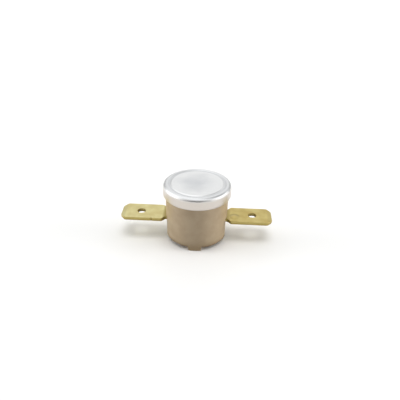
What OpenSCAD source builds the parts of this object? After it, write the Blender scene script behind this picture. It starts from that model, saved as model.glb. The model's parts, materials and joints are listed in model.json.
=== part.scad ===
// Snap-disc temperature limiter. A drawn aluminium cap is rolled under the flange of a moulded
// switch body. Under the cap a domed bimetal disc snaps through at its trip temperature and pushes
// a ceramic pin down against a sprung contact arm, which opens the contact between two blades.
// The origin is the centre of the underside, +Z points up to the sensing face, the blades lie
// along X, and the side that faces -Y is the front.

/* [Bimetal disc] */
// Diameter of the bimetal disc
disc_d = 12.7; // [12.2:0.1:16]
// Thickness of the bimetal disc
disc_t = 0.2; // [0.15:0.05:0.3]
// Rise of the disc from its rim to its crown
disc_dome = 0.25; // [0.2:0.05:0.3]
// Free height of the disc's rim between its ledge and the cap
disc_play = 0.2; // [0.1:0.05:0.3]
// Free radius around the disc
disc_gap = 0.1; // [0.05:0.05:0.2]

/* [Cap] */
// Thickness of the cap's sheet
cap_wall = 0.4; // [0.3:0.05:0.5]
// Outer radius of the rim round the sensing face
cap_rim_r = 0.9; // [0.75:0.05:0.95]
// Inner radius of the bend where the cap turns in under the body's flange
cap_bend_r = 0.15; // [0.15:0.05:0.25]
// Width of the ring groove stamped over the disc's edge
groove_w = 0.9; // [0.5:0.05:0.95]
// Depth of the ring groove
groove_depth = 0.15; // [0.1:0.01:0.2]

/* [Switch body] */
// Wall of the guide ring around the disc, which sets the body's flange
ring_wall = 1.1; // [1.05:0.05:1.5]
// How far the flange stands out past the top of the outer wall
flange_step = 0.15; // [0.1:0.05:0.3]
// Height of the flange that the cap is rolled under
flange_h = 0.8; // [0.6:0.05:1.1]
// Depth of the neck that the cap's edge is turned into
neck_depth = 0.3; // [0.2:0.05:0.4]
// Taper of the outer wall, from its top to its foot, in radius
draft = 0.15; // [0:0.05:0.3]
// Wall around the switch chamber
body_wall = 1.45; // [1.2:0.05:1.75]
// Height of the blades' upper face, which lies under the web
seat_h = 6; // [5.5:0.1:7.5]
// Thickness of the web between the switch chamber and the underside
web_t = 1.2; // [1:0.1:1.6]
// Width of the barrier rib across the underside
rib_w = 3; // [2:0.1:3]
// Height of the wall's lower edge over the foot of the barrier rib
foot_h = 0.4; // [0.2:0.1:1]
// Radius on the lower edge of the outer wall
foot_round = 1; // [0.2:0.1:1.2]
// Diameter of the post that carries the contact arm
post_d = 3; // [3:0.1:4.2]
// Width of the two ribs beside the contact bracket
key_w = 0.5; // [0.4:0.1:0.8]
// Height of the two ribs beside the contact bracket
key_h = 0.6; // [0.4:0.1:1]

/* [Disc guide] */
// Height of the guide ring over the body's flange
ring_h = 1.25; // [1.1:0.05:1.5]
// Width of the ledge that the disc's rim rests on
ledge_w = 0.7; // [0.5:0.1:1]
// Depth of the spigot that centres the guide in the chamber
spigot_h = 0.4; // [0.3:0.1:0.6]
// Length of the pin's collar under the spigot
collar_h = 0.5; // [0.3:0.1:0.6]
// Wall of the pin's collar
collar_wall = 0.8; // [0.6:0.1:1]

/* [Transfer pin] */
// Diameter of the ceramic transfer pin
pin_d = 2.2; // [1.8:0.1:2.7]
// Free travel between the pin and the disc's crown
pin_play = 0.15; // [0.1:0.05:0.2]
// Radius of the pin's domed ends
pin_dome_r = 2; // [1.8:0.1:4]

/* [Terminals] */
// Width of each blade
blade_w = 6.3; // [4.8:0.1:7.6]
// Thickness of each blade
blade_t = 0.8; // [0.5:0.05:1]
// Length of each blade from its shoulders to its tip
blade_len = 9.75; // [8:0.05:12]
// Distance of the shoulders, where a blade has its full width, from the body's wall
shoulder_gap = 0.8; // [0.7:0.05:1.2]
// Length of the slope from the neck out to the shoulders
shoulder_len = 0.85; // [0.3:0.05:1]
// Width of the neck that goes into the body
neck_w = 4.2; // [3.6:0.1:4.4]
// Corner cut at each blade's tip
tip_cut = 1.1; // [0.8:0.1:1.6]
// Length of the lead-in slope at each blade's tip
lead_len = 1; // [0.6:0.1:1.4]
// Depth of the lead-in slope on each face of a blade
lead_depth = 0.2; // [0.1:0.05:0.25]
// Diameter of the latching hole in each blade
latch_d = 2; // [1.4:0.1:2.2]
// Distance from the latching hole's centre to the blade's tip
latch_from_tip = 4.65; // [4:0.05:5]
// Diameter of the round dimple that is stamped up in the right blade
dimple_d = 2.2; // [1.6:0.1:2.6]
// Height of the dimple
dimple_h = 0.2; // [0.1:0.02:0.3]
// Distance of the dimple's centre from the blade's shoulders
dimple_from_shoulder = 0.85; // [0.6:0.05:1.5]
// Distance of the dimple's centre in front of the blade's centre line
dimple_off = 1.2; // [0:0.1:1.4]
// Width of the nick in the left blade's front edge
nick_w = 0.3; // [0.1:0.05:0.4]
// Distance of the nick from the blade's tip
nick_from_tip = 7.35; // [6:0.05:7.8]

/* [Contacts] */
// Thickness of the contact arm's leaf
arm_t = 0.2; // [0.15:0.05:0.25]
// Width of the contact arm where it is clamped
arm_w = 3; // [2.4:0.1:3.2]
// Width of the contact arm along its free length
arm_leaf_w = 2.2; // [1.8:0.1:2.4]
// Thickness of the contact bracket's strip
bracket_t = 0.5; // [0.4:0.05:0.6]
// Width of the contact bracket's strip
bracket_w = 3; // [2.4:0.1:3.2]
// Diameter of the silver contact buttons
button_d = 2; // [1.6:0.1:2.2]
// Height of the silver contact buttons
button_h = 0.45; // [0.35:0.05:0.6]
// Diameter of the contact buttons' shanks
shank_d = 1.1; // [0.8:0.1:1.2]
// Height of the contact buttons' riveted tails
tail_h = 0.2; // [0.15:0.05:0.3]
// Free height under the arm's contact when the switch is fully open
open_gap = 0.2; // [0.15:0.05:0.4]

/* [Rivets] */
// Diameter of the rivets' shanks
rivet_d = 1.8; // [1.4:0.1:1.9]
// Diameter of the rivets' heads
head_d = 2.6; // [2.3:0.1:2.8]
// Height of the rivets' heads
head_h = 0.45; // [0.35:0.05:0.6]
// Height of the rolled ends under the terminals
clinch_h = 0.55; // [0.4:0.05:0.7]
// Diameter of the hollow in each rivet's rolled end
hollow_d = 1; // [0.7:0.1:1]
// Depth of the hollow in each rivet's rolled end
hollow_depth = 1.3; // [0.8:0.1:1.8]
// Diameter of the clamp washer on the contact arm
washer_d = 3; // [2.8:0.1:3.2]
// Thickness of the clamp washer
washer_t = 0.3; // [0.2:0.05:0.4]

/* [Clearances] */
// Clearance in radius between pieces that fit into each other
fit_gap = 0.05; // [0.03:0.01:0.08]
// Clearance in radius around the sliding pin
slide_gap = 0.06; // [0.04:0.01:0.1]
// Clearance between faces that lie on each other
seat_gap = 0.02; // [0.01:0.01:0.04]
// Clearance on each side of a neck in its slot
slot_gap = 0.15; // [0.1:0.05:0.3]
// Clearance between neighbouring pieces in the chamber
free_gap = 0.12; // [0.1:0.02:0.2]
// Free height between the fixed contact and the guide above it
over_gap = 0.75; // [0.6:0.05:1]

/* [Hidden] */
$fn = 36;
ARC_STEPS = 5;      // straight pieces in a turned arc
CUT = 1;            // how far a cutting shape runs past the face that it cuts

// Radii, from the disc outwards to the cap and inwards to the chamber
ring_in_r = disc_d / 2 + disc_gap;
flange_r = ring_in_r + ring_wall;
wall_top_r = flange_r - flange_step;
wall_foot_r = wall_top_r - draft;
lip_r = wall_top_r - neck_depth;
chamber_r = wall_top_r - body_wall;
cap_in_r = flange_r + fit_gap;
cap_r = cap_in_r + cap_wall;
groove_r = ring_in_r;

// Places of the mechanism along X
riser_out_x = sqrt(pow(chamber_r, 2) - pow(bracket_w / 2, 2)) - free_gap;
riser_in_x = riser_out_x - bracket_t;
contact_x = riser_in_x - free_gap - arm_leaf_w / 2;
bracket_rivet_x = riser_in_x - free_gap - head_d / 2;
arm_rivet_x = chamber_r - washer_d / 2 - free_gap;
flex_x = arm_rivet_x - max(post_d, washer_d) / 2;

// Heights, from the web up to the sensing face
floor_z = seat_h + web_t;
pin_travel = 2 * disc_dome - pin_play;
contact_drop = pin_travel * (flex_x + contact_x) / flex_x;
arm_z = floor_z + bracket_t + head_h + open_gap + contact_drop + tail_h;
meet_z = arm_z + arm_t + button_h;
limb_z = meet_z + seat_gap + button_h;
fixed_top_z = limb_z + bracket_t + tail_h;
spigot_z = fixed_top_z + over_gap;
body_top_z = spigot_z + spigot_h;
neck_z = body_top_z - flange_h - cap_wall - 2 * seat_gap;
lip_z = neck_z + seat_gap;
ring_top_z = body_top_z + ring_h;
ledge_z = ring_top_z - disc_t - disc_play;
cap_under_z = ring_top_z + seat_gap + groove_depth;
cap_top_z = cap_under_z + cap_wall;
pin_top_z = ledge_z + disc_dome - pin_play;
pin_foot_z = arm_z + arm_t + seat_gap;

// Blades
blade_x = wall_top_r + shoulder_gap;
tip_x = blade_x + blade_len;
blade_top_z = seat_h - seat_gap;
blade_z = blade_top_z - blade_t;

// Points of an arc round c from angle a0 to a1
function arc(c, r, a0, a1, steps = ARC_STEPS) =
    [for (i = [0:steps]) let (a = a0 + (a1 - a0) * i / steps) [c[0] + r * cos(a), c[1] + r * sin(a)]];

// Radius of a circle whose arc is w wide and h high
function arc_radius(w, h) = (pow(w / 2, 2) + pow(h, 2)) / (2 * h);

// Radius of the body's tapered outer wall at height z
function wall_r(z) = wall_foot_r + draft * z / neck_z;

// A ring or cup turned from its outline, given as [radius, height] points
module turned(points) {
    rotate_extrude() polygon(points);
}

// An outline in X and Z, given width w along Y and centred on the XZ plane
module folded(points, w) {
    translate([0, w / 2, 0]) rotate([90, 0, 0]) linear_extrude(w) polygon(points);
}

// A round hole along Z from z0 to z1 at x
module bore(d, x, z0, z1) {
    translate([x, 0, z0]) cylinder(d = d, h = z1 - z0);
}

// A cup drawn from sheet: flat face with a ring groove, round rim, and an edge that turns in
module cap() {
    bead_r = arc_radius(groove_w, groove_depth);
    bead_c = [groove_r, cap_top_z - groove_depth + bead_r];
    out_a = acos((bead_r - groove_depth) / bead_r);
    in_a = acos((bead_r - groove_depth + cap_wall) / (bead_r + cap_wall));
    rim_c = [cap_r - cap_rim_r, cap_top_z - cap_rim_r];
    bend_c = [cap_in_r - cap_bend_r, lip_z + cap_wall + cap_bend_r];
    color([0.86, 0.87, 0.88]) turned(concat(
        [[0, cap_top_z]],
        arc(bead_c, bead_r, 270 - out_a, 270 + out_a),
        arc(rim_c, cap_rim_r, 90, 0),
        arc(bend_c, cap_bend_r + cap_wall, 0, -90),
        [[lip_r + fit_gap, lip_z], [lip_r + fit_gap, lip_z + cap_wall]],
        arc(bend_c, cap_bend_r, -90, 0),
        arc(rim_c, cap_rim_r - cap_wall, 0, 90),
        arc(bead_c, bead_r + cap_wall, 270 + in_a, 270 - in_a),
        [[0, cap_under_z]]
    ));
}

// Outer form of the body: tapered wall, neck for the cap's edge, and flange
module body_form() {
    flange_z = body_top_z - flange_h;
    chamfer = cap_bend_r - fit_gap;
    turned([
        [0, 0], [wall_foot_r, 0], [wall_top_r, neck_z], [lip_r, neck_z], [lip_r, flange_z],
        [flange_r - chamfer, flange_z], [flange_r, flange_z + chamfer],
        [flange_r, body_top_z], [0, body_top_z]
    ]);
}

// What is cut from the wall's foot, so that only the barrier rib's ends reach the floor
module foot_relief() {
    top_z = foot_h + foot_round;
    difference() {
        turned(concat(
            [[0, -CUT], [cap_r, -CUT], [cap_r, top_z]],
            arc([wall_r(top_z) - foot_round, top_z], foot_round, 0, -90),
            [[0, foot_h]]
        ));
        translate([-rib_w / 2, -cap_r, -2 * CUT]) cube([rib_w, 2 * cap_r, seat_h]);
    }
}

// Barrier rib across the recess of the underside
module barrier_rib() {
    intersection() {
        translate([-rib_w / 2, -flange_r, 0]) cube([rib_w, 2 * flange_r, seat_h + CUT / 2]);
        cylinder(r = chamber_r + body_wall / 2, h = seat_h + CUT);
    }
}

// Two ribs on the chamber's floor that keep the contact bracket straight
module bracket_keys() {
    inner_y = bracket_w / 2 + free_gap;
    for (side = [-1, 1])
        translate([-chamber_r, side > 0 ? inner_y : -inner_y - key_w, floor_z - CUT / 2])
            cube([chamber_r - contact_x + button_d, key_w, key_h + CUT / 2]);
}

// Moulded body with the switch chamber above its web and the terminals' seat below it
module switch_body() {
    slot_w = neck_w + 2 * slot_gap;
    hole_d = rivet_d + 2 * fit_gap;
    color([0.66, 0.59, 0.49]) difference() {
        union() {
            difference() {
                body_form();
                foot_relief();
                translate([0, 0, floor_z]) cylinder(r = chamber_r, h = body_top_z);
                translate([0, 0, -CUT]) cylinder(r = chamber_r, h = seat_h + CUT);
                translate([-cap_r, -slot_w / 2, -CUT]) cube([2 * cap_r, slot_w, seat_h + CUT]);
            }
            barrier_rib();
            intersection() {
                union() {
                    bore(post_d, arm_rivet_x, floor_z - CUT / 2, arm_z - seat_gap);
                    translate([arm_rivet_x, -post_d / 2, floor_z - CUT / 2])
                        cube([chamber_r, post_d, arm_z - seat_gap - floor_z + CUT / 2]);
                    bracket_keys();
                }
                cylinder(r = chamber_r + body_wall / 2, h = body_top_z);
            }
        }
        bore(hole_d, -bracket_rivet_x, seat_h - CUT, floor_z + CUT);
        bore(hole_d, arm_rivet_x, seat_h - CUT, arm_z + CUT);
    }
}

// Plate that closes the chamber, seats the disc's rim on a ledge and guides the pin
module disc_guide() {
    dish_z = ledge_z - disc_dome - disc_play;
    chamfer = cap_rim_r - cap_wall;
    spigot_r = chamber_r - fit_gap;
    collar_r = pin_d / 2 + slide_gap + collar_wall;
    ledge_r = ring_in_r - ledge_w;
    color([0.36, 0.28, 0.22]) turned([
        [pin_d / 2 + slide_gap, spigot_z - collar_h], [collar_r, spigot_z - collar_h],
        [collar_r, spigot_z], [spigot_r, spigot_z],
        [spigot_r, body_top_z + seat_gap], [flange_r, body_top_z + seat_gap],
        [flange_r, ring_top_z - chamfer], [flange_r - chamfer, ring_top_z],
        [ring_in_r, ring_top_z], [ring_in_r, ledge_z - seat_gap],
        [ledge_r, ledge_z - seat_gap], [ledge_r, dish_z],
        [pin_d / 2 + slide_gap, dish_z]
    ]);
}

// Snap disc, shown cold with its crown up
module bimetal_disc() {
    bend_r = arc_radius(disc_d, disc_dome);
    half_a = asin(disc_d / 2 / bend_r);
    centre_z = ledge_z + disc_dome - bend_r;
    color([0.72, 0.70, 0.66]) turned(concat(
        arc([0, centre_z], bend_r, 90, 90 - half_a),
        arc([0, centre_z + disc_t], bend_r, 90 - half_a, 90)
    ));
}

// Ceramic pin with domed ends
module transfer_pin() {
    r = pin_d / 2;
    a = asin(r / pin_dome_r);
    color([0.94, 0.93, 0.90]) turned(concat(
        arc([0, pin_foot_z + pin_dome_r], pin_dome_r, -90, -90 + a),
        arc([0, pin_top_z - pin_dome_r], pin_dome_r, 90 - a, 90)
    ));
}

// Outline of a terminal seen from above, with its blade towards +X, its round end beside the
// barrier rib and its rivet at rivet_x
module terminal_outline(rivet_x) {
    w = blade_w / 2;
    n = neck_w / 2;
    end_x = rib_w / 2 + free_gap + n;
    difference() {
        union() {
            translate([end_x, 0]) circle(r = n);
            polygon([
                [end_x, -n], [blade_x - shoulder_len, -n], [blade_x, -w], [tip_x - tip_cut, -w],
                [tip_x, tip_cut - w], [tip_x, w - tip_cut], [tip_x - tip_cut, w],
                [blade_x, w], [blade_x - shoulder_len, n], [end_x, n]
            ]);
        }
        translate([rivet_x, 0]) circle(d = rivet_d + fit_gap);
        translate([tip_x - latch_from_tip, 0]) circle(d = latch_d);
    }
}

// Ball whose top stands dimple_h above height z, where it is dimple_d across
module dimple_ball(z) {
    r = arc_radius(dimple_d, dimple_h);
    translate([blade_x + dimple_from_shoulder, -dimple_off, z + dimple_h - r]) sphere(r = r);
}

// Stamped terminal: blade with lead-in slopes, shoulders, and a neck that is riveted to the web
module terminal(rivet_x) {
    intersection() {
        translate([0, 0, blade_z - CUT]) linear_extrude(blade_t + 2 * CUT) terminal_outline(rivet_x);
        folded([
            [0, blade_z], [tip_x - lead_len, blade_z], [tip_x, blade_z + lead_depth],
            [tip_x, blade_top_z - lead_depth], [tip_x - lead_len, blade_top_z], [0, blade_top_z]
        ], 2 * blade_w);
    }
}

// Left terminal, with the small nick that its front edge has
module terminal_left() {
    color([0.80, 0.74, 0.50]) difference() {
        mirror([1, 0, 0]) terminal(bracket_rivet_x);
        translate([nick_from_tip - tip_x, -blade_w / 2, blade_z - CUT]) cylinder(d = nick_w, h = seat_h);
    }
}

// Right terminal, with the dimple stamped up from below
module terminal_right() {
    color([0.77, 0.70, 0.45]) difference() {
        union() {
            terminal(arm_rivet_x);
            intersection() {
                dimple_ball(blade_top_z);
                translate([0, -blade_w / 2, blade_top_z - blade_t / 4]) cube([tip_x, blade_w, blade_t]);
            }
        }
        dimple_ball(blade_z);
    }
}

// Bent strip: foot on the chamber's floor, riser by the wall, limb over the arm's contact
module contact_bracket() {
    foot_z = floor_z + seat_gap;
    top_z = limb_z + bracket_t;
    foot_end = -bracket_rivet_x + head_d / 2;
    limb_end = -contact_x + button_d / 2 + bracket_t / 2;
    low_c = [-riser_out_x + bracket_t, foot_z + bracket_t];
    high_c = [-riser_out_x + bracket_t, top_z - bracket_t];
    color([0.78, 0.66, 0.36]) difference() {
        folded(concat(
            [[foot_end, foot_z]],
            arc(low_c, bracket_t, 270, 180),
            arc(high_c, bracket_t, 180, 90),
            [
                [limb_end, top_z], [limb_end, limb_z], [-riser_in_x, limb_z],
                [-riser_in_x, foot_z + bracket_t], [foot_end, foot_z + bracket_t]
            ]
        ), bracket_w);
        bore(rivet_d + fit_gap, -bracket_rivet_x, floor_z - CUT, floor_z + CUT);
        bore(shank_d + fit_gap, -contact_x, limb_z - CUT / 4, top_z + CUT);
    }
}

// Leaf spring with a round clamped end, a narrower leaf and a round contact end
module contact_arm() {
    color([0.80, 0.55, 0.33]) translate([0, 0, arm_z]) linear_extrude(arm_t) difference() {
        union() {
            translate([arm_rivet_x, 0]) circle(d = arm_w);
            translate([-contact_x, 0]) circle(d = arm_leaf_w);
            polygon([
                [arm_rivet_x, -arm_w / 2], [arm_rivet_x, arm_w / 2],
                [flex_x, arm_w / 2], [flex_x - arm_w / 3, arm_leaf_w / 2],
                [-contact_x, arm_leaf_w / 2], [-contact_x, -arm_leaf_w / 2],
                [flex_x - arm_w / 3, -arm_leaf_w / 2], [flex_x, -arm_w / 2]
            ]);
        }
        translate([arm_rivet_x, 0]) circle(d = rivet_d + fit_gap);
        translate([-contact_x, 0]) circle(d = shank_d + fit_gap);
    }
}

// Contact rivet whose button's face lies at z 0 and whose shank goes down through a strip
module contact_rivet(strip_t) {
    edge = button_h / 4;
    turned([
        [0, 0], [button_d / 2 - edge, 0], [button_d / 2, -edge],
        [button_d / 2, seat_gap - button_h], [shank_d / 2, seat_gap - button_h],
        [shank_d / 2, -button_h - strip_t - seat_gap],
        [shank_d / 2 + tail_h, -button_h - strip_t - seat_gap],
        [shank_d / 2 + tail_h, -button_h - strip_t - tail_h / 2],
        [shank_d / 2, -button_h - strip_t - tail_h], [0, -button_h - strip_t - tail_h]
    ]);
}

module moving_contact() {
    color([0.88, 0.88, 0.86]) translate([-contact_x, 0, meet_z]) contact_rivet(arm_t);
}

module fixed_contact() {
    color([0.88, 0.88, 0.86]) translate([-contact_x, 0, meet_z + seat_gap]) mirror([0, 0, 1])
        contact_rivet(bracket_t);
}

module clamp_washer() {
    z = arm_z + arm_t + seat_gap;
    color([0.78, 0.66, 0.36]) difference() {
        bore(washer_d, arm_rivet_x, z, z + washer_t - seat_gap);
        bore(rivet_d + fit_gap, arm_rivet_x, z - CUT, z + CUT);
    }
}

// Semi-tubular rivet: head from z up, shank down to the terminal, rolled end under it
module tube_rivet(z) {
    r = rivet_d / 2;
    roll_r = (clinch_h - seat_gap) / 2;
    end_z = blade_z - clinch_h;
    top_c = [head_d / 2 - head_h * 0.6, z + head_h * 0.4];
    color([0.78, 0.69, 0.42]) difference() {
        turned(concat(
            [[0, end_z]],
            arc([r + roll_r / 2, end_z + roll_r], roll_r, -90, 90),
            [[r, blade_z - seat_gap], [r, z + seat_gap], [head_d / 2, z + seat_gap]],
            arc(top_c, head_h * 0.6, 0, 90),
            [[0, z + head_h]]
        ));
        translate([0, 0, end_z - CUT]) cylinder(d = hollow_d, h = hollow_depth + CUT);
    }
}

module bracket_rivet() {
    translate([-bracket_rivet_x, 0, 0]) tube_rivet(floor_z + bracket_t + seat_gap);
}

module arm_rivet() {
    translate([arm_rivet_x, 0, 0]) tube_rivet(arm_z + arm_t + washer_t + seat_gap);
}

switch_body();
cap();
disc_guide();
bimetal_disc();
transfer_pin();
terminal_left();
terminal_right();
contact_bracket();
fixed_contact();
contact_arm();
moving_contact();
clamp_washer();
bracket_rivet();
arm_rivet();
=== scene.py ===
"""Looks of a snap-disc temperature limiter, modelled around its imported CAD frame.

The cap, the body, the two terminals and the contact arm's leaf are modelled again, with the soft
edges that drawing, moulding and stamping leave. The other pieces keep their CAD meshes and get the
finish of their real material.
"""

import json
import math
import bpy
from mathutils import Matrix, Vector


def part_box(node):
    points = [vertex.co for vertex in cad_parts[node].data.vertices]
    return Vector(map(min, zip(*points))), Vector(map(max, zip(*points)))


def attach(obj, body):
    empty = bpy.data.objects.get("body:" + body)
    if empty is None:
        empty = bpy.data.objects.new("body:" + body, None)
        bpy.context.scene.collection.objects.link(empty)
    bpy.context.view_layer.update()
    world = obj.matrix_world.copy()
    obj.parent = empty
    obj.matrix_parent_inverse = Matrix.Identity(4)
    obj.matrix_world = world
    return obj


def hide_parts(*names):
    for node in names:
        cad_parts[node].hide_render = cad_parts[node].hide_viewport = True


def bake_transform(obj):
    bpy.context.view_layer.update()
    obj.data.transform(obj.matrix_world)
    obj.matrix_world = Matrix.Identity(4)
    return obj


bl_info = {
    "name": "Temperature Limiter",
    "version": (1, 0, 0),
    "blender": (4, 5, 0),
    "location": "View3D > Sidebar > Limiter",
    "description": "Builds a snap-disc temperature limiter with its finishes and a plain studio",
    "category": "Add Mesh",
}

import bpy
from mathutils import Matrix, Vector

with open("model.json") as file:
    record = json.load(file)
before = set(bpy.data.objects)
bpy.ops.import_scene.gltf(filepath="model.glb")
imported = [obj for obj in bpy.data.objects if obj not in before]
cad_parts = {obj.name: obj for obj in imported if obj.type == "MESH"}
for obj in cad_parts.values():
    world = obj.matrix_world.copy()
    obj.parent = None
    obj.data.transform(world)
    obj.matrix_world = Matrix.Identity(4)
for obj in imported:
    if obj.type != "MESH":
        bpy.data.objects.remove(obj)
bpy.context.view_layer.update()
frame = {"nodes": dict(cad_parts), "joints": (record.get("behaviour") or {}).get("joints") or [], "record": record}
MOUNTS = {mount["name"]: mount for mount in frame["record"]["mounts"]}
MM = 0.001

# Steps in a rounded corner of an outline
ROUND_STEPS = 12
# How near two spots count as one when a vertex is picked, when doubles merge, and on a cut
PICK_WITHIN = 0.001 * MM
MERGE_WITHIN = 0.0005 * MM
CUT_WITHIN = 0.0001 * MM

# The part of a noise's values that a pattern goes across, for a firm and for a soft pattern
FIRM = (0.35, 0.65)
SOFT = (0.3, 0.7)

# What lights the object, and what it mirrors, in a white room of level 1. Each patch has its
# heading from the camera's side towards the right, its elevation, the radius of its even middle and
# the radius where it ends, in degrees, and what it multiplies the level by in its middle.
LIGHTING = {
    "dark room behind the camera": (0, 10, 49, 85, 0.0),
    "soft lamp, left": (-90, 5, 15, 23, 10.5),
    "soft lamp, right": (90, 5, 15, 23, 10.5),
    "lit backdrop": (180, 13, 11, 31, 2.5),
    "dimmer ceiling": (180, 80, 15, 40, 0.53),
}
MIRRORED = {
    "dark room behind the camera": (0, 8, 16, 52, 0.27),
    "lit foot of the backdrop": (180, -3, 10, 19, 1.25),
    "gap behind the left lamp": (-142, 0, 14, 34, 0.5),
    "gap behind the right lamp": (142, 0, 14, 34, 0.55),
    "soft lamp, left": (-95, 18, 20, 45, 1.7),
    "soft lamp, right": (95, 15, 18, 42, 1.65),
    "soft lamp, top": (180, 80, 18, 46, 1.28),
    "gap over the right lamp": (126, 56, 10, 28, 0.45),
}
# How far the key light leans towards the camera and to the right, and how wide it is, in degrees
KEY_LEAN = (8, 2, 0)
KEY_WIDTH = 34


# Colours and node trees


def linear(hex_colour):
    """Turn an sRGB hex value such as "C8B48A" into a linear colour."""
    channels = [int(hex_colour[i : i + 2], 16) / 255 for i in (0, 2, 4)]
    return [c / 12.92 if c <= 0.04045 else ((c + 0.055) / 1.055) ** 2.4 for c in channels] + [1.0]


def fill(tree, socket, value):
    """Give an input a plain value, or link it to a socket or to a node's first output in use."""
    if isinstance(value, bpy.types.Node):
        value = next(output for output in value.outputs if output.enabled)
    if isinstance(value, bpy.types.NodeSocket):
        tree.links.new(value, socket)
    else:
        socket.default_value = value


def add_node(tree, kind, *inputs, named=None, **settings):
    """Add a node with its settings, and fill the inputs that it uses, in their order or by name."""
    node = tree.nodes.new("ShaderNode" + kind)
    for name, value in settings.items():
        setattr(node, name, value)
    used = [socket for socket in node.inputs if socket.enabled]
    for socket, value in zip(used, inputs):
        fill(tree, socket, value)
    for name, value in (named or {}).items():
        fill(tree, node.inputs[name], value)
    return node


def new_material(name, **surface):
    """Start a material, and give its tree, its Principled shader and its object coordinates."""
    material = bpy.data.materials.new(name)
    material.use_nodes = True
    tree = material.node_tree
    tree.nodes.clear()
    shader = add_node(tree, "BsdfPrincipled", named=surface)
    add_node(tree, "OutputMaterial", shader)
    place = add_node(tree, "TexCoord").outputs["Object"]
    return material, tree, shader, place


def grain(tree, place, size_mm, stretch=(1, 1, 1), detail=2.0):
    """Noise whose features are size_mm across, stretched along the axes given."""
    scaled = add_node(tree, "Mapping", place, named={"Scale": [1 / s for s in stretch]})
    return add_node(tree, "TexNoise", scaled, 1 / (size_mm * MM), detail)


def relief(tree, shader, height, depth_mm):
    """Raise the surface by a pattern, depth_mm from its lowest to its highest."""
    bump = add_node(tree, "Bump", named={"Height": height, "Distance": depth_mm * MM})
    fill(tree, shader.inputs["Normal"], bump)


def vary(tree, shader, pattern, colour, other, roughness, rougher, span=FIRM):
    """Let a pattern carry the surface from one colour and roughness to another."""
    share = add_node(tree, "MapRange", pattern, *span, 0, 1)
    base = add_node(tree, "Mix", share, linear(colour), linear(other), data_type="RGBA")
    rough = add_node(tree, "MapRange", pattern, *span, roughness, rougher)
    fill(tree, shader.inputs["Base Color"], base)
    fill(tree, shader.inputs["Roughness"], rough)


def tint(tree, shader, mask, colour):
    """Blend the surface's patterned colour into a plain one, where a mask goes from 0 to 1."""
    base = shader.inputs["Base Color"]
    before = base.links[0].from_socket
    fill(tree, base, add_node(tree, "Mix", mask, before, linear(colour), data_type="RGBA"))


# Finishes


def moulded_phenolic(name, colour, fleck, roughness, foot=None, edge=None):
    """Wood-flour filled phenolic, compression moulded.

    The filler shows as faint clouds and flecks under a smooth resin skin that shines a little. The
    body's foot is darker, as painted shade near the floor, and the wall's lowest edge beside the rib
    most of all, as a painted contact shadow. A piece without a foot gets neither colour."""
    material, tree, shader, place = new_material(name, IOR=1.6)
    clouds = grain(tree, place, 2.5, detail=3.0)
    vary(tree, shader, clouds, colour, fleck, roughness, roughness + 0.08)
    relief(tree, shader, grain(tree, place, 0.35, detail=3.0), 0.003)
    # Painted shade: darker towards the floor at the foot, darkest as a painted contact shadow at the wall's lowest
    # edge beside the rib
    if foot and edge:
        foot_top, foot_fades = 1.0 * MM, 2.2 * MM
        edge_top, edge_fades = 0.7 * MM, 1.6 * MM
        rib_side, edge_starts = 1.5 * MM, 1.8 * MM
        x, _, z = add_node(tree, "SeparateXYZ", place).outputs
        tint(tree, shader, add_node(tree, "MapRange", z, foot_top, foot_fades, 1, 0), foot)
        low = add_node(tree, "MapRange", z, edge_top, edge_fades, 1, 0)
        aside = add_node(tree, "Math", x, operation="ABSOLUTE")
        beside = add_node(tree, "MapRange", aside, rib_side, edge_starts, 0, 1)
        tint(tree, shader, add_node(tree, "Math", low, beside, operation="MULTIPLY"), edge)
    return material


def drawn_aluminium(name, bright, middle, wall, groove, roughness):
    """Soft aluminium sheet, drawn to a cup and rolled over at its edge.

    The face is clouded, and its colour is a painted reflection: darker in its middle, painted shade
    in the groove stamped at the radius called groove, and darker a little outside it. The die leaves
    fine upright lines on the wall, which is duller, and its warmer colour is a painted reflection."""
    material, tree, shader, place = new_material(name, Metallic=1.0)
    x, y, z = add_node(tree, "SeparateXYZ", place).outputs
    flat = add_node(tree, "CombineXYZ", x, y)
    radius = add_node(tree, "VectorMath", flat, operation="LENGTH")
    clouds = grain(tree, place, 5.0)

    # The painted reflection's darker middle ends raggedly, because the clouds shift its edge
    ragged, middle_radius, bright_radius = 1.5 * MM, 0.5 * MM, 5.0 * MM
    shift = add_node(tree, "MapRange", clouds, *SOFT, -ragged, ragged)
    reach = add_node(tree, "Math", radius, shift, operation="ADD")
    stretched = add_node(tree, "MapRange", reach, middle_radius, bright_radius, 0, 1)

    # Shares of the painted brightness that stay in the groove, as painted shade, and that come back outside it
    groove_painted_shade, back = 0.12, 0.35
    groove_in = (groove - 0.25 * MM, groove - 0.05 * MM)
    groove_out = (groove + 0.15 * MM, groove + 0.35 * MM)
    inside = add_node(tree, "MapRange", radius, *groove_in, 1, groove_painted_shade)
    outside = add_node(tree, "MapRange", radius, *groove_out, 0, back)
    rings = add_node(tree, "Math", inside, outside, operation="ADD")
    share = add_node(tree, "Math", stretched, rings, operation="MULTIPLY")
    face = add_node(tree, "Mix", share, linear(middle), linear(bright), data_type="RGBA")
    fill(tree, shader.inputs["Base Color"], face)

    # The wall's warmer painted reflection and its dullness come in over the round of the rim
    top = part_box("cap")[1].z
    down = add_node(tree, "MapRange", z, top - 1.0 * MM, top - 0.2 * MM, 1, 0)
    tint(tree, shader, down, wall)
    clouded = add_node(tree, "MapRange", clouds, *FIRM, roughness, roughness + 0.06)
    duller = add_node(tree, "Math", down, 0.12, operation="MULTIPLY")
    rough = add_node(tree, "Math", clouded, duller, operation="ADD")
    fill(tree, shader.inputs["Roughness"], rough)
    relief(tree, shader, grain(tree, place, 0.12, (1, 1, 12)), 0.0006)
    return material


def roll(tree, shader, place, colour, dull, roughness):
    """Rolling leaves fine lines along X, and handling leaves patches that shine less."""
    vary(tree, shader, grain(tree, place, 2.6), colour, dull, roughness, roughness + 0.1)
    relief(tree, shader, grain(tree, place, 0.14, (30, 1, 1)), 0.0008)


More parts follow.
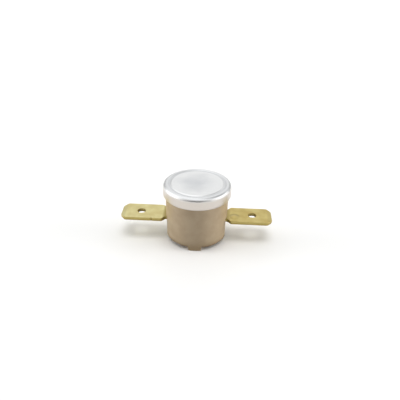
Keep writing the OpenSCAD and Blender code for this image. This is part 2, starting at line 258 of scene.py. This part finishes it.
def rolled_strip(name, colour, dull, roughness):
    """Metal strip, rolled and stamped, with fine lines along X and patches that shine less."""
    material, tree, shader, place = new_material(name, Metallic=1.0)
    roll(tree, shader, place, colour, dull, roughness)
    return material


def handled_and_shaded_terminal(name, colour, dull, painted_shade_colour, wall, press=None):
    """Rolled brass strip that was pressed into a moulded body.

    It is darker where it leaves the body, at the distance called wall from the middle, as painted
    shade beside the body's wall. With a press given as (x, y, radius), painted shade also darkens
    the far flank of the dimple there."""
    material, tree, shader, place = new_material(name, Metallic=1.0)
    roll(tree, shader, place, colour, dull, 0.3)
    x, y, _ = add_node(tree, "SeparateXYZ", place).outputs
    neck_shade_full, neck_shade_fades = wall + 0.1 * MM, wall + 0.6 * MM
    aside = add_node(tree, "Math", x, operation="ABSOLUTE")
    # Painted shade on the neck beside the body's wall
    tint(tree, shader, add_node(tree, "MapRange", aside, neck_shade_full, neck_shade_fades, 1, 0), painted_shade_colour)
    if press:
        press_x, press_y, radius = press
        inner_flank = (0.45 * radius, 0.85 * radius)
        outer_flank = (1.1 * radius, 1.6 * radius)
        far_side = (press_y, press_y + 0.8 * radius)
        # Painted shade on the dimple's far flank
        flat = add_node(tree, "VectorMath", place, (1, 1, 0), operation="MULTIPLY")
        away = add_node(tree, "VectorMath", flat, (press_x, press_y, 0), operation="DISTANCE")
        rises = add_node(tree, "MapRange", away, *inner_flank, 0, 1)
        fades = add_node(tree, "MapRange", away, *outer_flank, 1, 0)
        flank = add_node(tree, "Math", rises, fades, operation="MULTIPLY")
        behind = add_node(tree, "MapRange", y, *far_side, 0, 1)
        tint(tree, shader, add_node(tree, "Math", flank, behind, operation="MULTIPLY"), painted_shade_colour)
    return material


def sheared_strip(name, colour, torn, middle, roughness):
    """The cut side of stamped strip, upright.

    The punch rubs the upper part smooth. Below the height called middle the metal tears, so it is
    darker there, and streaks run down it."""
    jagged, blurred = 0.1 * MM, 0.06 * MM
    material, tree, shader, place = new_material(name, Metallic=1.0)
    streaks = grain(tree, place, 0.2, (1, 1, 6))
    height = add_node(tree, "SeparateXYZ", place).outputs["Z"]
    shift = add_node(tree, "MapRange", streaks, *SOFT, -jagged, jagged)
    line = add_node(tree, "Math", height, shift, operation="ADD")
    tear = add_node(tree, "MapRange", line, middle - blurred, middle + blurred, 1, 0)
    vary(tree, shader, tear, colour, torn, roughness, roughness + 0.12, span=(0, 1))
    relief(tree, shader, grain(tree, place, 0.1, (1, 1, 6)), 0.003)
    return material


def headed_metal(name, colour, dull, roughness):
    """Wire metal, headed cold and turned over in a die, so that it shines on its round edges."""
    material, tree, shader, place = new_material(name, Metallic=1.0)
    vary(tree, shader, grain(tree, place, 0.8), colour, dull, roughness, roughness + 0.1)
    relief(tree, shader, grain(tree, place, 0.1), 0.001)
    return material


def fired_alumina(name, colour, speck):
    """Alumina ceramic, pressed and fired: white, dense and matt, with a fine dry grain."""
    material, tree, shader, place = new_material(name, IOR=1.76)
    grit = grain(tree, place, 0.12, detail=4.0)
    vary(tree, shader, grit, colour, speck, 0.5, 0.55)
    relief(tree, shader, grit, 0.003)
    return material


# Modelling helpers


def deselect_all():
    """Leave edit mode and deselect every object."""
    if bpy.context.object and bpy.context.object.mode != "OBJECT":
        bpy.ops.object.mode_set(mode="OBJECT")
    bpy.ops.object.select_all(action="DESELECT")


def make_active(piece):
    """Select one object and nothing else."""
    deselect_all()
    piece.select_set(True)
    bpy.context.view_layer.objects.active = piece


def edit_all(piece):
    """Go into edit mode on one object, with all of it selected."""
    make_active(piece)
    bpy.ops.object.mode_set(mode="EDIT")
    bpy.ops.mesh.select_mode(type="VERT")
    bpy.ops.mesh.select_all(action="SELECT")


def pick_vertex(piece, spot):
    """In edit mode, select the one vertex that lies at spot."""
    bpy.ops.mesh.select_all(action="DESELECT")
    bpy.ops.object.mode_set(mode="OBJECT")
    for vertex in piece.data.vertices:
        vertex.select = (vertex.co - spot).length < PICK_WITHIN
    bpy.ops.object.mode_set(mode="EDIT")


def draw_chain(name, corners, upright):
    """Draw edges from corner to corner, in the XZ plane if upright and in the XY plane if not.

    Each corner is (x, z or y, radius) in metres, and one with a radius is rounded. A chain that
    ends where it starts is closed."""
    spots = [Vector((x, 0, other) if upright else (x, other, 0)) for x, other, _ in corners]
    deselect_all()
    bpy.ops.mesh.primitive_plane_add(size=MM, location=(0, 0, 0))
    piece = bpy.context.object
    piece.name = piece.data.name = name
    edit_all(piece)
    bpy.ops.mesh.merge(type="CENTER")
    bpy.ops.transform.translate(value=spots[0])
    for here, there in zip(spots, spots[1:]):
        bpy.ops.mesh.extrude_region_move(TRANSFORM_OT_translate={"value": there - here})
    merge_doubles()
    for spot, (_, _, radius) in zip(spots, corners):
        if radius:
            pick_vertex(piece, spot)
            bpy.ops.mesh.bevel(
                affect="VERTICES",
                offset_type="OFFSET",
                offset=radius,
                segments=ROUND_STEPS,
                clamp_overlap=False,
            )
    merge_doubles()
    return piece


def merge_doubles():
    """In edit mode, join vertices that lie in one place."""
    bpy.ops.mesh.select_all(action="SELECT")
    bpy.ops.mesh.remove_doubles(threshold=MERGE_WITHIN)


def turn_outwards():
    """In edit mode, make every face point outwards."""
    bpy.ops.mesh.select_all(action="SELECT")
    bpy.ops.mesh.normals_make_consistent(inside=False)


def spin_round(piece, steps):
    """Turn the profile once round the Z axis and close it to a solid skin."""
    edit_all(piece)
    bpy.ops.mesh.spin(steps=steps, angle=2 * math.pi, center=(0, 0, 0), axis=(0, 0, 1))
    merge_doubles()
    turn_outwards()
    deselect_all()


def raise_plate(piece, low, high):
    """Fill a closed outline and make a plate of it, from height low to height high."""
    edit_all(piece)
    bpy.ops.mesh.edge_face_add()
    bpy.ops.transform.translate(value=(0, 0, low))
    bpy.ops.mesh.extrude_region_move(TRANSFORM_OT_translate={"value": (0, 0, high - low)})
    turn_outwards()
    deselect_all()


def cut_across(point, normal, **options):
    """In edit mode, cut the mesh along a plane."""
    bpy.ops.mesh.select_all(action="SELECT")
    normal = Vector(normal).normalized()
    bpy.ops.mesh.bisect(plane_co=point, plane_no=normal, threshold=CUT_WITHIN, **options)


def trim(piece, point, normal):
    """Cut off what lies beyond a plane and close the cut."""
    edit_all(piece)
    cut_across(point, normal, use_fill=True, clear_outer=True)
    turn_outwards()
    deselect_all()


def round_bar(radius, low, high, x, y=0.0):
    """A bar along Z from height low to height high, for cutting a round hole."""
    deselect_all()
    bpy.ops.mesh.primitive_cylinder_add(
        vertices=64, radius=radius, depth=high - low, location=(x, y, (low + high) / 2)
    )
    return bpy.context.object


def bulge_ball(width, height, x, y, face):
    """A ball that stands out of a face at height face, where it is width across."""
    radius = (width**2 / 4 + height**2) / (2 * height)
    deselect_all()
    bpy.ops.mesh.primitive_uv_sphere_add(
        segments=128, ring_count=96, radius=radius, location=(x, y, face + height - radius)
    )
    bpy.ops.object.transform_apply(location=True)
    return bpy.context.object


def combine(piece, other, operation):
    """Cut another solid out of a piece, or add it, and delete the other."""
    make_active(piece)
    joining = piece.modifiers.new("Combine", "BOOLEAN")
    joining.operation = operation
    joining.solver = "EXACT"
    joining.object = other
    bpy.ops.object.modifier_apply(modifier=joining.name)
    bpy.data.objects.remove(other)


def merged_copy(node, name, flat_within=0.4):
    """Copy a CAD node and join its loose triangles into the flat faces that they make up.

    Triangles whose angle is below flat_within, in degrees, are one flat face."""
    piece = bpy.data.objects.new(name, frame["nodes"][node].data.copy())
    piece.data.name = name
    piece.data.materials.clear()
    bpy.context.scene.collection.objects.link(piece)
    make_active(piece)
    bpy.ops.mesh.customdata_custom_splitnormals_clear()
    edit_all(piece)
    merge_doubles()
    bpy.ops.mesh.dissolve_limited(angle_limit=math.radians(flat_within))
    deselect_all()
    return piece


def soften_edges(piece, width, segments=3, sharper_than=35):
    """Round every edge that is sharper than the angle given, in degrees."""
    make_active(piece)
    bevel = piece.modifiers.new("Soft edges", "BEVEL")
    bevel.width = width
    bevel.segments = segments
    bevel.limit_method = "ANGLE"
    bevel.angle_limit = math.radians(sharper_than)
    bpy.ops.object.modifier_apply(modifier=bevel.name)


def smooth(piece, sharper_than=35):
    """Shade smooth over the edges less sharp than the angle given, and keep flat faces flat."""
    make_active(piece)
    bpy.ops.object.shade_smooth_by_angle(angle=math.radians(sharper_than))
    flats = piece.modifiers.new("Flat faces first", "WEIGHTED_NORMAL")
    flats.keep_sharp = True
    bpy.ops.object.modifier_apply(modifier=flats.name)


def stand_for(piece, node, slot, *materials):
    """Finish a new piece: hide the CAD node that it stands for and give it its materials; its slot is not used."""
    for material in materials:
        piece.data.materials.append(material)
    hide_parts(node)


# Sizes and colours that a user would change


def length(name, description, millimetres):
    """A size or distance, given in millimetres and kept in metres."""
    return bpy.props.FloatProperty(
        name=name, description=description, default=millimetres * MM, unit="LENGTH", precision=5
    )


def colour(name, description, hex_colour):
    """A colour, kept as its sRGB hex value."""
    return bpy.props.StringProperty(name=name, description=description, default=hex_colour)


class LimiterSizes(bpy.types.PropertyGroup):
    """Sizes of the modelled pieces that the frame's boxes and mounts don't give."""

    sheet: length("Cap's sheet", "Thickness of the cap's sheet", 0.4)
    rim_round: length("Cap's rim", "Outer radius of the rim round the face", 0.9)
    fold_round: length("Cap's fold", "Outer radius where the skirt turns in", 0.55)
    lip: length("Cap's edge", "Radius of the opening inside the turned-in edge", 7.15)
    lip_round: length("Edge's rounding", "Radius on the corners of the turned-in edge", 0.05)
    groove: length("Groove", "Radius of the groove stamped in the face", 6.45)
    groove_half: length("Groove's half width", "From the groove's middle to its edge", 0.45)
    groove_floor: length("Groove's floor", "Half width of the groove's flat floor", 0.14)
    groove_depth: length("Groove's depth", "Depth of the groove", 0.15)
    groove_crest: length("Groove's crests", "Rounding where the face turns down", 0.14)
    groove_bottom: length("Groove's corners", "Rounding beside the groove's floor", 0.12)
    neck: length("Neck", "Width of a terminal's neck", 4.2)
    shoulder: length("Shoulder", "From the middle to where a blade has its full width", 8.2)
    shoulder_slope: length("Shoulder's slope", "Length of the slope from neck to shoulder", 0.85)
    shoulder_round: length("Shoulder's rounding", "Rounding of the slope's two corners", 0.3)
    tip_cut: length("Tip's corners", "Size of the corners cut off a blade's tip", 1.1)
    tip_round: length("Tip's rounding", "Rounding of the cut corners", 0.4)
    lead_length: length("Lead-in", "Length of the slopes at a blade's tip", 1.0)
    lead_depth: length("Lead-in's depth", "Depth of the slopes at a blade's tip", 0.2)
    rivet_hole: length("Rivet hole", "Radius of the hole round a rivet", 0.925)
    shank_hole: length("Contact hole", "Radius of the hole round a contact's shank", 0.575)
    dimple: length("Dimple", "Diameter of the dimple on the right blade", 2.2)
    dimple_height: length("Dimple's height", "Height of the dimple on the right blade", 0.2)
    dimple_from_shoulder: length("Dimple's place", "From the shoulder to the dimple", 0.85)
    dimple_off: length("Dimple's offset", "From the blade's centre line forwards", 1.2)
    nick: length("Nick", "Radius of the nick in the left blade's edge", 0.15)
    nick_from_hole: length("Nick's place", "From the latch hole to the nick", 2.7)
    leaf: length("Leaf", "Width of the contact arm's leaf", 2.2)
    leaf_clamp: length("Leaf's clamped end", "Width of the leaf under its washer", 3.0)
    leaf_round: length("Leaf's rounding", "Rounding where the leaf gets narrower", 0.4)
    leaf_bend: length("Leaf's bend", "Length that bends, from the washer on", 1.5)
    moulded_edge: length("Moulded edges", "Width of the softened edges of the body", 0.1)
    stamped_edge: length("Stamped edges", "Width of the softened edges of the terminals", 0.06)


class LimiterFinish(bpy.types.PropertyGroup):
    """Colours of the pieces that show, as sRGB hex values."""

    body: colour("Body", "Colour of the moulded body", "A99577")
    body_filler: colour("Body filler", "Colour of the filler that clouds the body", "A08B6D")
    # The foot's and the lowest edge's colours are painted shade near the floor
    body_foot_painted_shade: colour("Body's foot", "Colour of the body's darker lower edge", "957F5D")
    body_edge_painted_shade: colour("Body's lowest edge", "Colour of the lowest edge beside the rib", "6F5A3D")
    # The ring's and the middle's colours are a painted reflection, with painted shade in the groove
    cap: colour("Cap", "Colour of the bright ring of the cap's face", "E6E7E7")
    cap_middle_painted_reflection: colour("Cap's middle", "Colour of the duller middle of the cap's face", "D1D3D5")
    # The wall's warmer colour is a painted reflection
    cap_wall_painted_reflection: colour("Cap's wall", "Colour of the cap's drawn wall", "D2CBC4")
    # The two blades are one brass: the left's brighter and the right's darker colours are lit and shaded copies,
    # painted light
    left_blade_lit: colour("Left blade", "Colour of the left terminal's brass", "D9D098")
    left_dull_lit: colour("Left blade, dull", "Colour where the left terminal is dull", "CDC088")
    right_blade_shaded: colour("Right blade", "Colour of the right terminal's brass", "CBBB7A")
    right_dull_shaded: colour("Right blade, dull", "Colour where the right terminal is dull", "BEA967")
    sheared: colour("Cut edges", "Colour of the terminals' sheared sides", "B4A467")
    torn: colour("Torn edges", "Colour of the lower, torn part of the sheared sides", "A8975E")
    # The punched colour is painted shade inside the holes and the nick
    punched: colour("Punched holes", "Colour inside the punched holes", "86763F")


class LimiterStage(bpy.types.PropertyGroup):
    """Camera, light and floor."""

    distance: bpy.props.FloatProperty(
        name="Distance", description="From the camera to the object", default=0.110, unit="LENGTH"
    )
    elevation: bpy.props.FloatProperty(
        name="Elevation",
        description="Angle of the camera over the floor",
        default=math.radians(29.9),
        subtype="ANGLE",
    )
    heading: bpy.props.FloatProperty(
        name="Heading",
        description="How far the object is turned, with its right blade towards the camera",
        default=math.radians(2.1),
        subtype="ANGLE",
    )
    roll: bpy.props.FloatProperty(
        name="Roll",
        description="Tilt of the camera to its left",
        default=math.radians(1.4),
        subtype="ANGLE",
    )
    target: length("Target", "Height of the point by which the camera is aimed", 5.98)
    target_right: length("Target to the right", "From the picture's middle to the target", -0.80)
    target_up: length("Target upwards", "From the picture's middle to the target", -3.097)
    lens: bpy.props.FloatProperty(
        name="Lens", description="Focal length in millimetres on a 36 mm sensor", default=41.13
    )
    room_light: bpy.props.FloatProperty(
        name="Room", description="Strength of the light from all round", default=0.91
    )
    key_light: bpy.props.FloatProperty(
        name="Key light", description="Strength of the soft light overhead", default=1.10
    )
    floor: bpy.props.FloatProperty(
        name="Floor", description="Width of the sheet of paper", default=4.0, unit="LENGTH"
    )


class LimiterSettings(bpy.types.PropertyGroup):
    """All that the panel shows."""

    sizes: bpy.props.PointerProperty(type=LimiterSizes)
    finish: bpy.props.PointerProperty(type=LimiterFinish)
    stage: bpy.props.PointerProperty(type=LimiterStage)


# Pieces


class LIMITER_OT_cap(bpy.types.Operator):
    """Model the aluminium cap: face with its ring groove, round rim, skirt and turned-in edge"""

    bl_idname = "limiter.cap"
    bl_label = "Cap"

    def execute(self, context):
        sizes, finish = context.scene.limiter.sizes, context.scene.limiter.finish
        low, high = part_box("cap")
        top, foot, rim, sheet = high.z, low.z, high.x, sizes.sheet
        piece = draw_chain(
            "cap_shell",
            [(0, top, 0)]
            + self.groove(sizes, top)
            + [
                (rim, top, sizes.rim_round),
                (rim, foot, sizes.fold_round),
                (sizes.lip, foot, sizes.lip_round),
                (sizes.lip, foot + sheet, sizes.lip_round),
                (rim - sheet, foot + sheet, sizes.fold_round - sheet),
                (rim - sheet, top - sheet, sizes.rim_round - sheet),
            ]
            + self.groove(sizes, top - sheet)[::-1]
            + [(0, top - sheet, 0)],
            upright=True,
        )
        spin_round(piece, steps=180)
        smooth(piece, sharper_than=50)
        material = drawn_aluminium(
            "Drawn aluminium", finish.cap, finish.cap_middle_painted_reflection, finish.cap_wall_painted_reflection, sizes.groove, 0.2
        )
        stand_for(piece, "cap", "cap", material)
        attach(piece, "housing")
        return {"FINISHED"}

    def groove(self, sizes, face):
        """Corners of the stamped groove, from the inside outwards, below a face of the sheet."""
        middle, half, floor = sizes.groove, sizes.groove_half, sizes.groove_floor
        crest, bottom = sizes.groove_crest, sizes.groove_bottom
        return [
            (middle - half, face, crest),
            (middle - floor, face - sizes.groove_depth, bottom),
            (middle + floor, face - sizes.groove_depth, bottom),
            (middle + half, face, crest),
        ]


class LIMITER_OT_body(bpy.types.Operator):
    """Model the moulded body with softened edges"""

    bl_idname = "limiter.body"
    bl_label = "Body"

    def execute(self, context):
        sizes, finish = context.scene.limiter.sizes, context.scene.limiter.finish
        piece = merged_copy("switch_body", "moulded_body")
        soften_edges(piece, sizes.moulded_edge)
        smooth(piece)
        material = moulded_phenolic(
            "Moulded phenolic",
            finish.body,
            finish.body_filler,
            0.36,
            foot=finish.body_foot_painted_shade,
            edge=finish.body_edge_painted_shade,
        )
        stand_for(piece, "switch_body", "body", material)
        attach(piece, "housing")
        return {"FINISHED"}


class LIMITER_OT_terminals(bpy.types.Operator):
    """Model the two stamped terminals, with the right one's dimple and the left one's nick"""

    bl_idname = "limiter.terminals"
    bl_label = "Terminals"

    # Share of the strip's thickness that tore when it was punched
    TORN_SHARE = 0.45
    # A face whose normal points up or down by less than this is an upright side
    UPRIGHT = 0.5
    # The faces inside a latch hole lie within this many times its radius
    LATCH_REACH = 1.02
    # The sides' places in a terminal's list of materials, after the rolled faces' own
    CUT, PUNCHED = 1, 2

    def execute(self, context):
        sizes, finish = context.scene.limiter.sizes, context.scene.limiter.finish
        low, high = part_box("terminal_left")
        left = self.blank("left", "bracket_rivet", sizes)
        nick = MOUNTS["left_blade_hole"]["pos_m"][0] + sizes.nick_from_hole
        combine(left, round_bar(sizes.nick, low.z - MM, high.z + MM, nick, low.y), "DIFFERENCE")
        right = self.blank("right", "arm_rivet", sizes)
        dimple = (sizes.shoulder + sizes.dimple_from_shoulder, -sizes.dimple_off)
        self.stamp_dimple(right, sizes, dimple, low.z, high.z)
        tear = low.z + self.TORN_SHARE * (high.z - low.z)
        cut = sheared_strip("Sheared brass", finish.sheared, finish.torn, tear, 0.42)
        # Inside the holes and the nick the sides are darker, as painted shade
        punched = sheared_strip("Punched brass", finish.torn, finish.punched, tear, 0.5)
        # The body is round, so its half width along Y is also where the blades leave it
        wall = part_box("switch_body")[1].y
        for side, piece, bright, dull, press in (
            # The left blade's lit and the right blade's shaded colours are painted light on one brass
            ("left", left, finish.left_blade_lit, finish.left_dull_lit, None),
            ("right", right, finish.right_blade_shaded, finish.right_dull_shaded, (*dimple, sizes.dimple / 2)),
        ):
            soften_edges(piece, sizes.stamped_edge)
            smooth(piece)
            name = f"Rolled brass, {side}"
            # The torn colour also serves as the painted shade on the necks and the dimple's far flank
            rolled = handled_and_shaded_terminal(name, bright, dull, finish.torn, wall, press)
            stand_for(piece, f"terminal_{side}", "terminal", rolled, cut, punched)
            latch = MOUNTS[f"{side}_blade_hole"]
            reach = self.LATCH_REACH * latch["dims"]["r_mm"] * MM
            holes = ((latch["pos_m"][0], 0, reach), (nick, low.y, sizes.nick))
            self.finish_sides(piece, holes)
            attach(piece, "housing")
        return {"FINISHED"}

    def finish_sides(self, piece, holes):
        """Give the upright sides the sheared finish, and those inside the holes and the nick the punched one,
        darker as painted shade.
        """
        for face in piece.data.polygons:
            if abs(face.normal.z) < self.UPRIGHT:
                face.material_index = self.CUT
                for x, y, radius in holes:
                    if math.hypot(face.center.x - x, face.center.y - y) < radius:
                        face.material_index = self.PUNCHED

    def blank(self, side, rivet, sizes):
        """Stamp a flat blank: blade, cut corners, lead-in slopes, shoulders, neck and holes."""
        low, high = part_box("terminal_left")
        tip, end, width = -low.x, -high.x, high.y
        neck, shoulder, slope = sizes.neck / 2, sizes.shoulder, sizes.shoulder_slope
        half = [
            (end, neck, neck),
            (shoulder - slope, neck, sizes.shoulder_round),
            (shoulder, width, sizes.shoulder_round),
            (tip - sizes.tip_cut, width, sizes.tip_round),
            (tip, width - sizes.tip_cut, sizes.tip_round),
        ]
        outline = half + [(x, -y, radius) for x, y, radius in half[::-1]]
        hand = 1 if side == "right" else -1
        outline = [(hand * x, y, radius) for x, y, radius in outline]
        first = (outline[0][0], outline[0][1], 0)
        piece = draw_chain(f"{side}_blade", outline + [first], upright=False)
        raise_plate(piece, low.z, high.z)
        for face, up in ((high.z, 1), (low.z, -1)):
            trim(
                piece,
                (hand * (tip - sizes.lead_length), 0, face),
                (hand * sizes.lead_depth, 0, up * sizes.lead_length),
            )
        latch = MOUNTS[f"{side}_blade_hole"]
        rivet_low, rivet_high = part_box(rivet)
        holes = (
            (latch["dims"]["r_mm"] * MM, latch["pos_m"][0]),
            (sizes.rivet_hole, (rivet_low.x + rivet_high.x) / 2),
        )
        for radius, x in holes:
            combine(piece, round_bar(radius, low.z - MM, high.z + MM, x), "DIFFERENCE")
        return piece

    def stamp_dimple(self, piece, sizes, place, low, high):
        """Raise the round dimple on the upper face and hollow it from below."""
        bump = bulge_ball(sizes.dimple, sizes.dimple_height, *place, high)
        inside_strip = (low + 3 * high) / 4
        trim(bump, (0, 0, inside_strip), (0, 0, -1))
        combine(piece, bump, "UNION")
        hollow = bulge_ball(sizes.dimple, sizes.dimple_height, *place, low)
        combine(piece, hollow, "DIFFERENCE")


class LIMITER_OT_leaf(bpy.types.Operator):
    """Model the contact arm's leaf, which bends from its clamp washer as the pin pushes it"""

    bl_idname = "limiter.leaf"
    bl_label = "Contact leaf"

    # Strips that the bending length is cut into
    BEND_STEPS = 14

    def execute(self, context):
        sizes = context.scene.limiter.sizes
        low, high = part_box("contact_arm")
        hinge = next(j for j in frame["joints"] if j["name"] == "arm_flex")["pos_m"]
        clamp, leaf = sizes.leaf_clamp / 2, sizes.leaf / 2
        half = [
            (high.x, clamp, clamp),
            (hinge[0], clamp, sizes.leaf_round),
            (hinge[0] - sizes.leaf_clamp / 3, leaf, sizes.leaf_round),
            (low.x, leaf, leaf),
        ]
        outline = half + [(x, -y, radius) for x, y, radius in half[::-1]] + [(high.x, clamp, 0)]
        piece = draw_chain("contact_leaf", outline, upright=False)
        raise_plate(piece, low.z, high.z)
        bend_end = (hinge[0] - sizes.leaf_bend, 0, hinge[2])
        edit_all(piece)
        for i in range(self.BEND_STEPS + 1):
            along = hinge[0] + (bend_end[0] - hinge[0]) * i / self.BEND_STEPS
            cut_across((along, 0, 0), (1, 0, 0))
        deselect_all()
        for radius, x in ((sizes.rivet_hole, high.x - clamp), (sizes.shank_hole, low.x + leaf)):
            combine(piece, round_bar(radius, low.z - MM, high.z + MM, x), "DIFFERENCE")
        smooth(piece)
        copper = rolled_strip("Rolled copper alloy", "C98E5E", "B27C50", 0.28)
        stand_for(piece, "contact_arm", "spring", copper)
        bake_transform(piece)
        return {"FINISHED"}


class LIMITER_OT_inner_pieces(bpy.types.Operator):
    """Give the pieces inside the switch, and its rivets, their finishes"""

    bl_idname = "limiter.inner_pieces"
    bl_label = "Inner pieces"

    def execute(self, context):
        strip = rolled_strip("Rolled brass strip", "C9A95C", "BA9850", 0.3)
        silver = headed_metal("Headed silver alloy", "E6E5E1", "D6D3CC", 0.25)
        brass = headed_metal("Headed brass", "CDB46C", "BDA25E", 0.3)
        finishes = {
            "disc_guide": moulded_phenolic("Moulded dark phenolic", "4A3A30", "40322A", 0.4),
            "bimetal_disc": rolled_strip("Rolled bimetal", "B9B6AC", "ABA79C", 0.32),
            "transfer_pin": fired_alumina("Fired alumina", "EFEBE1", "E2DCCE"),
            "contact_bracket": strip,
            "clamp_washer": strip,
            "fixed_contact": silver,
            "moving_contact": silver,
            "bracket_rivet": brass,
            "arm_rivet": brass,
        }
        for node, material in finishes.items():
            mesh = frame["nodes"][node].data
            mesh.materials.clear()
            mesh.materials.append(material)
        return {"FINISHED"}


class LIMITER_OT_stage(bpy.types.Operator):
    """Set the floor, the light from all round and above, and the camera"""

    bl_idname = "limiter.stage"
    bl_label = "Stage"

    def execute(self, context):
        stage = context.scene.limiter.stage
        self.lay_floor(stage)
        self.light_room(stage)
        self.hang_key_light(stage)
        self.place_camera(stage)
        return {"FINISHED"}

    def lay_floor(self, stage):
        """A plain sheet of white paper."""
        deselect_all()
        bpy.ops.mesh.primitive_plane_add(size=stage.floor, location=(0, 0, 0))
        floor = bpy.context.object
        floor.name = "floor"
        material = bpy.data.materials.new("White paper")
        material.use_nodes = True
        tree = material.node_tree
        tree.nodes.clear()
        add_node(tree, "OutputMaterial", add_node(tree, "BsdfDiffuse", linear("FCFCFB")))
        floor.data.materials.append(material)

    def light_room(self, stage):
        """A white room, brighter and darker in patches, that is plain white to the camera."""
        world = bpy.data.worlds.new("White tent")
        bpy.context.scene.world = world
        world.use_nodes = True
        tree = world.node_tree
        tree.nodes.clear()
        way = add_node(tree, "TexCoord").outputs["Generated"]
        path = add_node(tree, "LightPath").outputs
        mirrored = add_node(
            tree, "Math", path["Is Glossy Ray"], path["Is Transmission Ray"], operation="MAXIMUM"
        )
        lighting = self.surroundings(tree, way, LIGHTING)
        lit = add_node(tree, "Math", lighting, stage.room_light, operation="MULTIPLY")
        strength = add_node(tree, "Mix", mirrored, lit, self.surroundings(tree, way, MIRRORED))
        white = (1, 1, 1, 1)
        room = add_node(tree, "Background", white, strength)
        backdrop = add_node(tree, "Background", white, 1.0)
        mixed = add_node(tree, "MixShader", path["Is Camera Ray"], room, backdrop)
        add_node(tree, "OutputWorld", mixed)

    def surroundings(self, tree, way, patches):
        """Level of the room along a direction, with its darker and brighter patches."""
        level = 1.0
        for heading, rise, full, end, share in patches.values():
            across, up = math.radians(heading), math.radians(rise)
            flat = math.cos(up)
            towards = (math.sin(across) * flat, -math.cos(across) * flat, math.sin(up))
            facing = add_node(tree, "VectorMath", way, towards, operation="DOT_PRODUCT")
            near, far = math.cos(math.radians(full)), math.cos(math.radians(end))
            patch = add_node(tree, "MapRange", facing, far, near, 1.0, share)
            level = add_node(tree, "Math", level, patch, operation="MULTIPLY")
        return level

    def hang_key_light(self, stage):
        """A wide soft light overhead, which leans a little towards the camera and to the right."""
        deselect_all()
        lean = [math.radians(angle) for angle in KEY_LEAN]
        bpy.ops.object.light_add(type="SUN", location=(0, 0, 0.3), rotation=lean)
        lamp = bpy.context.object
        lamp.name = "key light"
        lamp.data.angle = math.radians(KEY_WIDTH)
        lamp.data.energy = stage.key_light
        lamp.visible_glossy = False

    def place_camera(self, stage):
        """Put the camera where the photograph was taken from."""
        turn, rise, roll = stage.heading, stage.elevation, stage.roll
        across = Vector((math.cos(turn), math.sin(turn), 0))
        away = Vector((-math.sin(turn), math.cos(turn), 0))
        up = away * math.sin(rise) + Vector((0, 0, math.cos(rise)))
        ahead = away * math.cos(rise) - Vector((0, 0, math.sin(rise)))
        right = across * math.cos(roll) + up * math.sin(roll)
        top = up * math.cos(roll) - across * math.sin(roll)
        camera = bpy.data.objects.new("camera", bpy.data.cameras.new("camera"))
        bpy.context.scene.collection.objects.link(camera)
        camera.data.sensor_width = 36.0
        camera.data.lens = stage.lens
        camera.data.clip_start = 0.005
        middle = Vector((0, 0, stage.target)) - right * stage.target_right - top * stage.target_up
        place = Matrix.Translation(middle - ahead * stage.distance)
        camera.matrix_world = place @ Matrix((right, top, -ahead)).transposed().to_4x4()
        bpy.context.scene.camera = camera


class LIMITER_PT_panel(bpy.types.Panel):
    """The pieces of the limiter, in the order in which they are built"""

    bl_label = "Temperature limiter"
    bl_space_type = "VIEW_3D"
    bl_region_type = "UI"
    bl_category = "Limiter"

    def draw(self, context):
        settings = context.scene.limiter
        for group in (settings.sizes, settings.finish, settings.stage):
            box = self.layout.box()
            for name in group.bl_rna.properties.keys():
                if name not in ("rna_type", "name"):
                    box.prop(group, name)
        for operator in OPERATORS:
            self.layout.operator(operator.bl_idname)


OPERATORS = (
    LIMITER_OT_cap,
    LIMITER_OT_body,
    LIMITER_OT_terminals,
    LIMITER_OT_leaf,
    LIMITER_OT_inner_pieces,
    LIMITER_OT_stage,
)
CLASSES = (LimiterSizes, LimiterFinish, LimiterStage, LimiterSettings, *OPERATORS, LIMITER_PT_panel)


def register():
    for cls in CLASSES:
        bpy.utils.register_class(cls)
    bpy.types.Scene.limiter = bpy.props.PointerProperty(type=LimiterSettings)


def unregister():
    del bpy.types.Scene.limiter
    for cls in reversed(CLASSES):
        bpy.utils.unregister_class(cls)


def main():
    """Register the add-on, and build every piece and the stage."""
    register()
    bpy.ops.limiter.cap()
    bpy.ops.limiter.body()
    bpy.ops.limiter.terminals()
    bpy.ops.limiter.leaf()
    bpy.ops.limiter.inner_pieces()
    bpy.ops.limiter.stage()
    bpy.context.scene.view_settings.view_transform = "Standard"
    bpy.context.view_layer.update()


if __name__ == "__main__":
    main()
